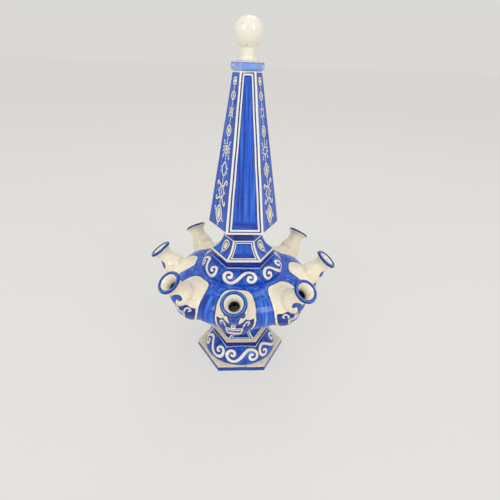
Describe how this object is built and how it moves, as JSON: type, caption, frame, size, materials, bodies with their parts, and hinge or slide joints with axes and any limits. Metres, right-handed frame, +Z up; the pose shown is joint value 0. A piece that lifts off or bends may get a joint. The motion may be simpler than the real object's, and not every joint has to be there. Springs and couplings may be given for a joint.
{
  "type": "tulipiere",
  "caption": "Hexagonal blue and cream faience flower vase: a spouted bowl on a pedestal, with a tall lift-off spire that ends in a ball finial.",
  "frame": {"origin": "centre of the plinth's foot, on the table", "axes": "+Z up along the vase's axis; -Y out of the flat front face of the spire and plinth"},
  "size_m": [0.2346, 0.2346, 0.4073],
  "materials": {
    "cobalt_glaze": "cobalt brushed under a clear gloss glaze",
    "deep_cobalt_glaze": "dense cobalt under a clear gloss glaze",
    "pale_cobalt_glaze": "thin cobalt wash under a clear gloss glaze",
    "cream_glaze": "creamy tin glaze, gloss",
    "biscuit": "bare fired clay, matt"
  },
  "bodies": {
    "vessel": {"plinth": "cobalt_glaze", "pedestal_dome": "cobalt_glaze", "pedestal_cornice": "deep_cobalt_glaze", "stem": "cobalt_glaze", "bowl_lower": "cobalt_glaze", "bowl_upper": "cobalt_glaze", "shoulder_dome": "cobalt_glaze", "shoulder_step": "deep_cobalt_glaze", "shoulder_skirt": "cobalt_glaze", "neck": "deep_cobalt_glaze", "spout_1": "cream_glaze", "spout_2": "cream_glaze", "spout_3": "cream_glaze", "spout_4": "cream_glaze", "spout_5": "cream_glaze", "spout_6": "cream_glaze", "spout_7": "cream_glaze", "spout_8": "cream_glaze", "spout_boss_1": "cream_glaze", "spout_boss_2": "cream_glaze", "spout_boss_3": "cream_glaze", "spout_boss_4": "cream_glaze", "spout_boss_5": "cream_glaze", "spout_boss_6": "cream_glaze", "spout_boss_7": "cream_glaze", "spout_boss_8": "cream_glaze"},
    "spire": {"spire": "cobalt_glaze", "spire_spigot": "biscuit", "spire_collar": "pale_cobalt_glaze", "finial": "cream_glaze"}
  },
  "joints": [
    {"name": "spire_lift", "type": "slide", "parent": "vessel", "child": "spire", "axis": [0, 0, 1], "range_m": [0, 0.09]}
  ]
}
